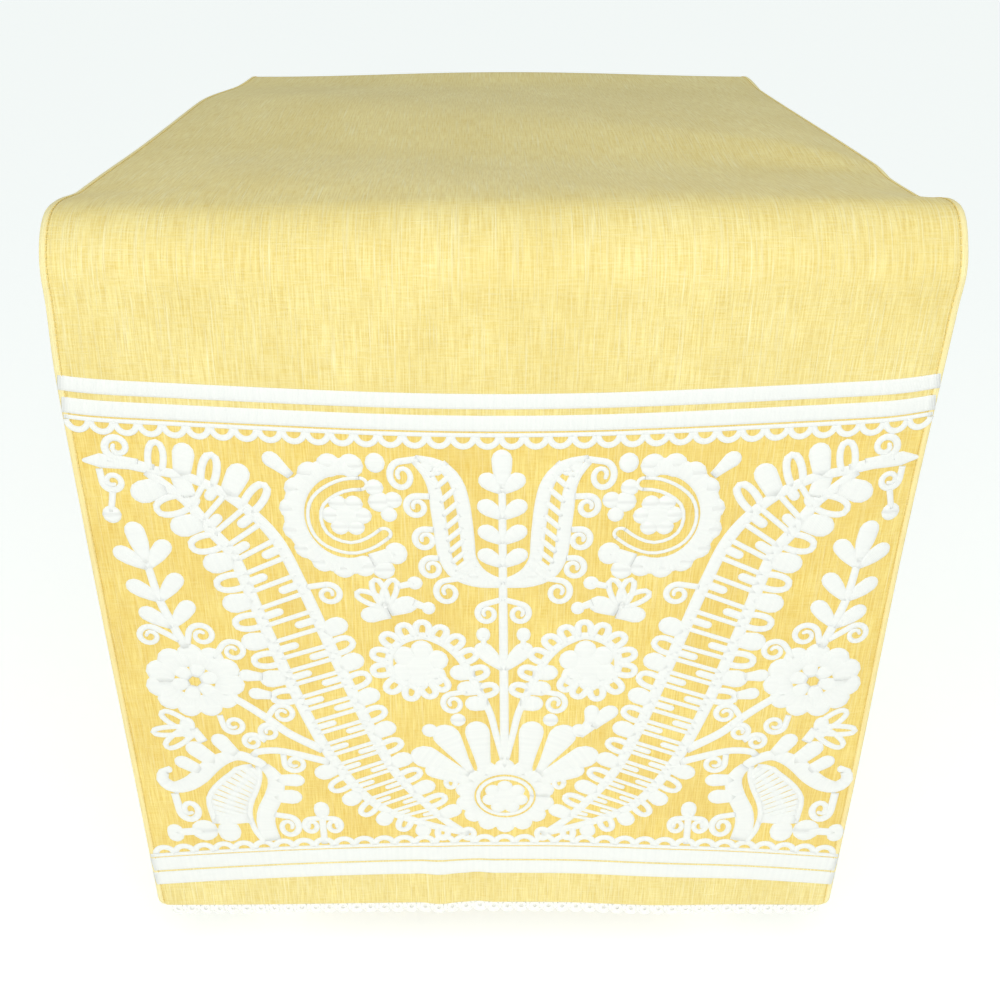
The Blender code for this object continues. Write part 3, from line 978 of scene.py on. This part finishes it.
side_flower()
side_sprig()
side_bud()
side_stems()
sew_pair(gather("side_sprig"))

# %% [markdown]
# ## The tulip in the corner
# In each lower corner a bell of slanting bars hangs between two heavy curved petals. A narrow strip of bare
# cloth on either side parts the bell from them. The bars touch, but for two rows of short gaps.

# %% Tulip and trefoil
BELL_OUTER = smooth_line([(139, 109.6), (146.5, 108.4), (151, 104.2), (157, 98.8), (162.4, 92.6),
                          (166, 85.5), (166, 77), (164.8, 67)])
BELL_INNER = smooth_line([(136.2, 109.4), (135.4, 104.9), (136.3, 98.9), (138.9, 91.2), (142.4, 83),
                          (144.4, 75), (144.2, 66)])
BELL_BARS = 12
BAR_WIDTHS = (4.2, 3.2, 3.9, 2.9, 3.5)


def tulip_bell():
    lay(BELL_OUTER, (3.0, 3.6, 3.6, 3.6))
    lay(BELL_INNER, (3.0, 3.2, 3.2, 3.2))
    for bar in range(BELL_BARS):
        share = (bar + 0.5) / BELL_BARS * 0.88
        outer, direction = point_on(BELL_OUTER, share)
        inner, direction = point_on(BELL_INNER, share + 0.12)
        lay([outer, inner], BAR_WIDTHS, height=0.65)
    lay([(165, 69.8), (155, 69.2), (145, 70.4)], 6.8)
    lay(smooth_line([(144.4, 69), (142.6, 60), (138.0, 51)]), 3.4)


def tulip():
    lay(smooth_line([(131.5, 108.5), (137.5, 113.8), (146.0, 117.2), (154.5, 114.8), (161.9, 109.4),
                     (168.2, 102.6), (175.8, 96.6), (184.3, 94.4), (189.6, 100.1), (187.0, 107.2),
                     (183.4, 106.2)]),
        (6.4, 6.4, 7.4, 9.4, 10.8, 11.0, 10.2, 8.4, 7.0, 5.2), "round")
    lay(smooth_line([(132.5, 109.5), (127.6, 102.0), (127.4, 94), (130.4, 85), (134.2, 77), (136, 69.6),
                     (136, 62), (134.5, 53)]),
        (6.0, 9.2, 10.4, 10.8, 11.0, 11.2, 11.6))
    for base, tip, width in (((147.5, 117), (157.0, 131.9), 10.0), ((159.0, 112), (172.2, 126.1), 11.0),
                             ((168.0, 106.5), (180.4, 115.4), 9.2)):
        petal(base, tip, width, 0.85)
    petal((127, 99.2), (111.1, 98.6), 9.5, 0.8)
    petal((129, 87.0), (113.7, 86.0), 11.2, 0.8)
    scroll((184.5, 90.0), (177.9, 77.2), 7.7, -1, 1.35, 4.2)
    scroll((130.5, 73), (123.4, 63.6), 7.7, 1, 1.3, 3.7)
    dot((188.6, 59.5), 4.8, 1.4)
    lay([(188, 60), (172, 61)], (5.4, 6.0))
    dot((171.6, 61.4), 8.0)
    dot((157.7, 60.4), 6.8, 1.15)
    tulip_bell()


def trefoil():
    dot((103.8, 76.2), 4.5, 1.35)
    lay([(103.9, 76), (104.3, 50)], (4.2, 4.0))
    scroll((104.2, 70), (110.5, 63.9), 5.8, -1, 1.3, 3.4)
    scroll((104.2, 70), (97.7, 63.9), 5.8, 1, 1.3, 3.4)


tulip()
trefoil()
sew_pair(gather("tulip"))

# %% [markdown]
# ## The crescent flower
# Between each fern and the middle hangs a scalloped crescent. A long narrow hoop lies in its hollow, with
# bare cloth inside it, and a full flower sits in the hoop's bend. The hoop is an outline round a curve: a
# stroke on either side of it and a half ring round each end.

# %% Crescent, its hoop, and the bud cluster
CRESCENT_MIDDLE = (75.0, 269.5)
CRESCENT_LOBES = 10
HOOP_BEND = smooth_line([(66.3, 288.8), (73.5, 288.0), (81.6, 283.9), (87.4, 278.0), (89.6, 270.5),
                         (88.5, 262.4), (84.6, 256.4), (77.6, 252.8), (70.7, 252.4), (62.9, 255.9),
                         (56.7, 260.9)])
HOOP_GAP = 4.3


def long_hoop(bend, gap, stroke):
    """An outline all round a curved line."""
    slope = np.gradient(bend, axis=0)
    slope = slope / np.hypot(*slope.T)[:, None]
    aside = np.stack((-slope[:, 1], slope[:, 0]), axis=-1) * (gap + stroke) / 2
    lay(bend + aside, stroke)
    lay(bend - aside, stroke)
    for middle, first in ((bend[-1], aside[-1]), (bend[0], -aside[0])):
        start = math.degrees(math.atan2(first[1], first[0]))
        lay(arc(middle, np.hypot(*first), start, start - 180, 21), stroke)


def crescent():
    lay(arc(CRESCENT_MIDDLE, (24.4, 28.3), 111, -118),
        (8.8, 9.8, 10.4, 10.4, 10.4, 10.4, 10.2, 10.2), "round")
    for lobe in range(CRESCENT_LOBES):
        turn = math.radians(101.1 - 23.07 * lobe)
        dot((CRESCENT_MIDDLE[0] + 25.4 * math.cos(turn), CRESCENT_MIDDLE[1] + 29.4 * math.sin(turn)), 6.3)
    dot((58.4, 239.4), 5.8)
    dot((51.8, 249.2), 5.7, 1.15)
    lay([(64, 244.5), (52, 249.0)], 9.0)
    long_hoop(HOOP_BEND, HOOP_GAP, 1.9)
    flower((74.0, 271.0), 12.2, 6, 0)
    dot((58.0, 279.0), 5.6)
    for centre, radius in (((59.8, 286.8), 4.6), ((51.4, 280.2), 4.6), ((53.8, 272.0), 4.2)):
        dot(centre, radius)
    dot((58.6, 300.2), 4.8, 1.1)
    lay([(110.2, 303.4), (104.5, 298.0), (98.6, 292.0)], (9.4, 8.6, 6.0, 4.4), "start")


def bud_cluster():
    middle = (59.4, 217.6)
    hoop(middle, (74.2, 225.6), 9.8, opened=0.08)
    hoop(middle, (63.8, 234.6), 9.2, opened=0.08)
    hoop(middle, (53.2, 234.6), 9.4, opened=0.08)
    dot(middle, 4.4)
    petal((57.4, 213.2), (71.9, 209.8), 10.6, 0.9)
    petal((57.6, 213.8), (43.2, 219.8), 11.4, 0.7)
    lay([(52, 229.0), (43.6, 231.2)], (3.6, 4.4))
    dot((43.6, 231.2), 4.1)
    lay([(45.0, 218.6), (37.5, 215.4)], (5.4, 3.6))
    dot((37.5, 215.4), 3.6, 1.1)


crescent()
bud_cluster()
sew_pair(gather("crescent"))

# %% [markdown]
# ## The middle of the panel
# A leafy sprig stands on the middle line between two curved bands. Each band is two rails with slanting
# rungs between them, and its outer edge carries a row of scrolls.

# %% Scroll bands
BAND_OUTER = smooth_line([(40.5, 301.4), (35.0, 295), (31.8, 287.5), (30.6, 275.4), (29.7, 265.5),
                          (28.4, 250), (26.2, 242), (21.5, 235.6), (12, 231.8), (-1, 231.4)])
BAND_INNER = smooth_line([(40.0, 303.4), (31.5, 301.0), (25.2, 296.6), (20.9, 289.2), (18.7, 278.8),
                          (17.5, 266.6), (16.7, 256), (16.0, 246.4), (11.6, 237.8), (4.5, 233.2),
                          (-1, 232.0)])
BAND_RUNGS = ((29.4, 297.4), (27.3, 291), (25.4, 283.5), (24.4, 275.8), (23.7, 268.2), (22.8, 261.1),
              (21.9, 254.4), (20.8, 248), (19.4, 242.9), (17, 238.4))
BAND_FILLS = (((34.6, 299.0), 3.4), ((30.0, 296.6), 2.6), ((18.6, 239.6), 3.6), ((14.0, 235.4), 3.8))
BAND_SCROLLS = (
    # start, centre, radius, how much taller
    ((38, 302.8), (46.5, 293.6), 7.4, 1.3),
    ((34, 282.6), (40.4, 276.7), 6.7, 1.15),
    ((33, 263.6), (37.2, 257.8), 6.8, 1.15),
    ((31, 246.6), (34.8, 240.6), 6.9, 1.15),
    ((20, 234.5), (27.6, 225.6), 7.5, 1.22),
)


def scroll_band():
    lay(BAND_OUTER, (3.0, 6.2, 7.0, 7.2, 7.2, 7.0, 6.6, 6.4))
    lay(BAND_INNER, (3.0, 6.0, 7.0, 7.2, 7.2, 6.8, 6.6, 4.4))
    for place in BAND_RUNGS:
        lay([(place[0] + 4.0, place[1] - 3.9), (place[0] - 4.0, place[1] + 3.9)], 3.0)
    for centre, radius in BAND_FILLS:
        dot(centre, radius)
    for start, centre, radius, tall in BAND_SCROLLS:
        scroll(start, centre, radius, -1, tall)


scroll_band()
sew_pair(gather("scroll_band"))

# %% [markdown]
# ## The curled flowers
# A stem rises from the root and curls round a full flower of six lobes. Small hoops stand along it like a
# fringe, with solid petals and a scroll on its inner side. At its foot four broad petals fan out sideways.

# %% Ring flower and half-open flower
CURLED_STEM = smooth_line([(35.0, 170.8), (43, 165.6), (50.5, 165.8), (56.6, 170), (59.6, 177.5),
                           (58.4, 186), (52.5, 194.0), (42.0, 197.6), (33.2, 194.2), (27, 189.1),
                           (21.2, 180.9), (15.8, 168.5), (11, 156.5), (7.2, 145.3), (4.6, 132),
                           (1, 114)])
STEM_HOOPS = (0.006, 0.051, 0.092, 0.140, 0.197, 0.246, 0.302, 0.350, 0.394, 0.438, 0.490, 0.552,
              0.624, 0.700)


def ring_flower():
    lay(CURLED_STEM, (4.4, 4.6, 4.8, 4.8, 4.8, 4.4, 4.0, 3.6))
    flower((43.6, 178.0), 15.9, 6, 98, 1.05)
    for share in STEM_HOOPS:
        base, direction = point_on(CURLED_STEM, share)
        hoop(base, towards(base, direction - 90, 10.8), 10.8, 3.9, 0.2)
    petal((15.0, 173.6), (28.3, 173.8), 11.0, 0.8)
    petal((11.5, 163.2), (24.8, 163.4), 10.2, 0.8)
    petal((8.5, 153.2), (20.8, 153.2), 11.0, 0.8)
    scroll((19.5, 161.5), (27.1, 153.3), 7.1, -1, 1.15)


def half_open_flower():
    petal((17, 97), (43.8, 107.0), 10.8, 0.8)
    for base, tip, widths in (((20.0, 102), (50.6, 119.8), (4.0, 7.5, 12.0, 16.4, 15.6)),
                              ((18.5, 104), (35.0, 138.0), (4.0, 7.0, 11.5, 15.6, 15.2)),
                              ((10.5, 102), (15.6, 141.0), (7.5, 8.6, 11.0, 13.8, 13.6))):
        lay([base, tip], widths, "tip")
    dot((40.2, 134.6), 4.6)
    dot((24.8, 142.0), 4.4)
    ring((30.2, 96.0), (2.6, 3.6), 3.2)


ring_flower()
half_open_flower()
sew_pair(gather("ring_flower"))

# %% [markdown]
# ## The middle line
# The middle sprig crosses the line that the pattern mirrors about, so it is charted whole. So are the round
# flower at its root, which is scallops round two rings and a small flower, and the one lone sprig.

# %% Middle sprig and round flower
ROUND_FLOWER = (0.0, 85.5)


def middle_sprig():
    lay([(0, 292), (0, 230), (0, 108)], (3.6, 4.8, 5.0))
    leaf((0, 287.5), (0, 308.0), 10.0)
    for node, reach in ((285.2, 10.0), (270.6, 11.0), (256.0, 11.0), (242.0, 11.4)):
        for side in (1, -1):
            leaf((0, node), (side * reach, node + 9.4), 9.4)
    for side in (1, -1):
        scroll((side * 0.5, 221), (side * 8.1, 212.0), 6.6, -side, 1.2)
        leaf((side * 0.5, 176.0), (side * 13.6, 192.4), 10.2)
        dot((side * 10.3, 198.4), 3.7, 1.22)
        lay([(side * 10.3, 197), (side * 10.0, 189)], 3.0)


def round_flower():
    for scallop in range(14):
        dot(towards(ROUND_FLOWER, 270 + 360 / 14 * scallop, 22.7), 5.8)
    ring(ROUND_FLOWER, (21.4, 20.8), 8.4)
    ring(ROUND_FLOWER, (15.2, 14.2), 2.5)
    flower((0.0, 84.8), 13.3, 7, 90, 0.95)


def lone_sprig():
    """Two petals on a stalk, worked on the right only."""
    lay([(40.5, 131.0), (47.2, 140.0)], (5.0, 9.0))
    petal((46.8, 138.0), (46.6, 152.2), 8.4, 0.9)
    petal((46.6, 138.4), (59.8, 150.6), 9.6, 0.9)


middle_sprig()
round_flower()
lone_sprig()
middle = gather("middle_sprig")
sew_on(middle, "middle_sprig_sewn", 1)
bpy.data.objects.remove(middle)

# %% [markdown]
# ## The borders
# Two solid bands close the panel at the top and two at the bottom, right across the runner, with a row of
# small loops along their inner side. On the hanging cloth the bands aren't quite straight: they sag towards
# the middle at the top and rise at the bottom, so their height is a smooth function of the place across.

# %% Borders
BORDER_HALF = 199.2
BORDERS = (
    # name, direction, first band from, to, second band from, to, loop base from, to,
    # loops' reach, stroke, count and half the row's width
    ("border_top", -1, 0.0, 7.6, 10.5, 18.6, 19.2, 21.4, 27.8, 3.2, 36, 199.0),
    ("border_bottom", 1, 0.0, 10.4, 11.3, 21.9, 22.5, 25.2, 31.6, 3.9, 34, 196.4),
)


def edge_height(name, out):
    """Height of a border's outer edge above the hem."""
    share = np.abs(np.asarray(out, float)) / 200
    if name == "border_top":
        return 335.6 + 3.4 * share ** 2 + 2.2 * share ** 14
    return 17.6 + 6.6 * (1 - share ** 3)


def border(name, direction, bands, base, reach, stroke, loops, half):
    """Two bands, the loops' foot line and the loops, working inwards from the border's outer edge."""
    out = np.linspace(-BORDER_HALF, BORDER_HALF, 97)
    for start, end in (*bands, base):
        lay(np.column_stack((out, edge_height(name, out) + direction * (start + end) / 2)), end - start)
    pitch = 2 * half / loops
    for count in range(loops):
        middle = -half + pitch * (count + 0.5)
        foot = float(edge_height(name, middle)) + direction * (base[1] - 0.6)
        rise = reach - base[1] + 0.6 - stroke / 2
        lay(arc((middle, foot), (pitch / 2 - 0.5, rise), 0, direction * 180, 24), stroke)


for name, direction, first, first_end, second, second_end, base, base_end, *loop_sizes in BORDERS:
    border(name, direction, ((first, first_end), (second, second_end)), (base, base_end), *loop_sizes)
    flat_border = gather(name)
    sew_on(flat_border, name + "_sewn", 1, leaning=False)
    bpy.data.objects.remove(flat_border)

# %% [markdown]
# ## White thread
# The embroidery is rayon satin stitch: a white, slightly glossy thread whose strands lie side by side across
# each stroke. The thread lines follow the UV map, which holds real lengths. Real threads are 0.35 mm apart,
# and they are drawn at twice that, so that they show.

# %% Rayon satin stitch
THREAD_SPACING_MM = 0.7


def thread_work(name, spacing_mm, pale, palest, roughness, bump_share):
    """Threads side by side across every stroke."""
    material, shader = new_material(name)
    flat = add_node(material, "ShaderNodeUVMap", {"uv_map": "thread"}).outputs["UV"]
    place = add_node(material, "ShaderNodeMapping", None,
                     {"Vector": flat, "Scale": (1000 / spacing_mm, 60, 1)}).outputs["Vector"]
    threads = add_node(material, "ShaderNodeTexWave", {"wave_type": "BANDS", "bands_direction": "X"},
                       {"Vector": place, "Scale": 0.3142, "Distortion": 1.2, "Detail": 1.0})
    noise = add_node(material, "ShaderNodeTexNoise", {"noise_dimensions": "2D"},
                     {"Vector": place, "Scale": 0.35, "Detail": 2.0})
    colour = add_node(material, "ShaderNodeMix", {"data_type": "RGBA"},
                      {"Factor": noise.outputs["Fac"], 6: linear(pale), 7: linear(palest)})
    bump = add_node(material, "ShaderNodeBump", None,
                    {"Height": threads.outputs["Fac"], "Strength": bump_share, "Distance": 0.0002})
    tree = material.node_tree
    tree.links.new(colour.outputs[2], shader.inputs["Base Color"])
    tree.links.new(bump.outputs["Normal"], shader.inputs["Normal"])
    shader.inputs["Roughness"].default_value = roughness
    shader.inputs["Specular IOR Level"].default_value = 0.4
    shader.inputs["Sheen Weight"].default_value = 0.15
    return material


white_thread = thread_work("rayon_satin_stitch", THREAD_SPACING_MM, "DFE0DF", "E8E8E6", 0.5, 0.6)
for piece in white_pieces:
    piece.data.materials.append(white_thread)
    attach(piece, "root")
print(len(white_pieces), "pieces in white thread")

# %% [markdown]
# ## The lace edging
# A narrow crochet edging is sewn into each end hem. Crochet cotton is worked back and forth: first a tape of
# close stitches, then a row of rings that leave small eyelets, bars between them, and scallops along the
# free side. It is worked flat, as long as the hem less its round corners, and hangs straight on below it.

# %% Crochet lace
LACE_HALF = 193.6
LACE_EYELETS = 47
EYELET_MIDDLE = -3.7
LACE_DEPTH = 8.6
LACE_BED = 0.0019


def crochet_lace():
    """A flat strip of lace, with the hem's edge at 0 up."""
    out = np.linspace(-LACE_HALF, LACE_HALF, 97)
    lay(np.column_stack((out, 0 * out + 0.4)), 3.0)
    pitch = 2 * LACE_HALF / LACE_EYELETS
    for count in range(LACE_EYELETS):
        middle = -LACE_HALF + pitch * (count + 0.5)
        ring((middle, EYELET_MIDDLE), (2.1, 2.5), 2.5)
        lay([(middle + pitch / 2, 0.0), (middle + pitch / 2, -6.0)], 2.4, "tip")
        scallop = (pitch / 2 - 0.9, LACE_DEPTH - 5.2 - 0.8)
        lay(arc((middle, -5.2), scallop, 0, -180, 20), 1.6)


def sew_lace(flat, name, rear):
    """Hangs the lace below the front hem, or turned round below the rear one."""
    def place(out, up):
        return out, RUNNER_LENGTH - up if rear else up

    return lay_copy(flat, name, place, LACE_BED, rear)


crochet_lace()
flat_lace = gather("lace")
crochet_cotton = thread_work("crochet_cotton", 1.1, "E9E8E4", "EFEEEA", 0.75, 0.6)
lace_pieces = [sew_lace(flat_lace, "lace_edging_front", False), sew_lace(flat_lace, "lace_edging_rear", True)]
bpy.data.objects.remove(flat_lace)
for piece, node in zip(lace_pieces, ("lace_front", "lace_rear")):
    piece.data.materials.append(crochet_cotton)
    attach(piece, "root")
    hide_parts(node)
print("lace:", LACE_EYELETS, "eyelets at each end")

# %% [markdown]
# ## Hem stitches
# The rolled side hems and the turned hem at the plain end are held by a row of straight stitches in mustard
# cotton thread, 3 mm apart. At the embroidered end the lowest band covers that row.

# %% Hem stitches
STITCH_PITCH = 3.0
STITCH_LENGTH = 2.2
STITCH_WIDTH = 0.6


def stitch_row(start, end):
    """Straight stitches from one place on the cloth to another, in millimetres."""
    start = np.array(start, float)
    way = np.array(end, float) - start
    count = int(np.hypot(*way) / STITCH_PITCH)
    step = way / count
    for number in range(count):
        first = start + step * number
        lay([first, first + step * STITCH_LENGTH / STITCH_PITCH], STITCH_WIDTH, height=0.45)


side_row = (HALF_WIDTH - SIDE_HEM) / MM
end_row = (RUNNER_LENGTH - HEM_DEPTH) / MM
for side in (-1, 1):
    stitch_row((side * side_row, 3.0), (side * side_row, RUNNER_LENGTH / MM - 3.0))
stitch_row((-side_row, end_row), (side_row, end_row))
flat_stitches = gather("hem_stitches")
hem_stitches = sew_on(flat_stitches, "hem_stitches_sewn", 1, leaning=False)
bpy.data.objects.remove(flat_stitches)
white_pieces.remove(hem_stitches)
hem_stitches.data.materials.append(thread_work("mustard_sewing_thread", 0.4, "DCC06A", "EAD58C", 0.7, 0.3))
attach(hem_stitches, "root")

# %% [markdown]
# ## The table
# The table is a plain one in white satin paint, with faint brush marks, so that the cloth stands out.

# %% Painted wood
def painted_wood():
    material, shader = new_material("white_painted_wood")
    place = add_node(material, "ShaderNodeTexCoord").outputs["Object"]
    brushed = add_node(material, "ShaderNodeMapping", None, {"Vector": place, "Scale": (12, 350, 350)})
    noise = add_node(material, "ShaderNodeTexNoise", None,
                     {"Vector": brushed.outputs["Vector"], "Scale": 1.0, "Detail": 2.0})
    bump = add_node(material, "ShaderNodeBump", None,
                    {"Height": noise.outputs["Fac"], "Strength": 0.25, "Distance": 0.0003})
    material.node_tree.links.new(bump.outputs["Normal"], shader.inputs["Normal"])
    shader.inputs["Base Color"].default_value = linear("F3F1EC")
    shader.inputs["Roughness"].default_value = 0.45
    return material


white_paint = painted_wood()
for name, piece in sorted(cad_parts.items()):
    if name.startswith("table_"):
        piece.material_slots[0].material = white_paint

# %% [markdown]
# ## The floor
# The floor is plain pale paint that glows a little, so it shows white round the object.

# %% Pale floor
FLOOR_GLOW = 0.34


def pale_floor():
    material, shader = new_material("pale_painted_floor")
    shader.inputs["Base Color"].default_value = linear("F9F9F7")
    shader.inputs["Emission Color"].default_value = linear("FFFFFF")
    shader.inputs["Emission Strength"].default_value = FLOOR_GLOW
    shader.inputs["Roughness"].default_value = 0.7
    shader.inputs["Specular IOR Level"].default_value = 0.2
    return material


floor.data.materials.append(pale_floor())
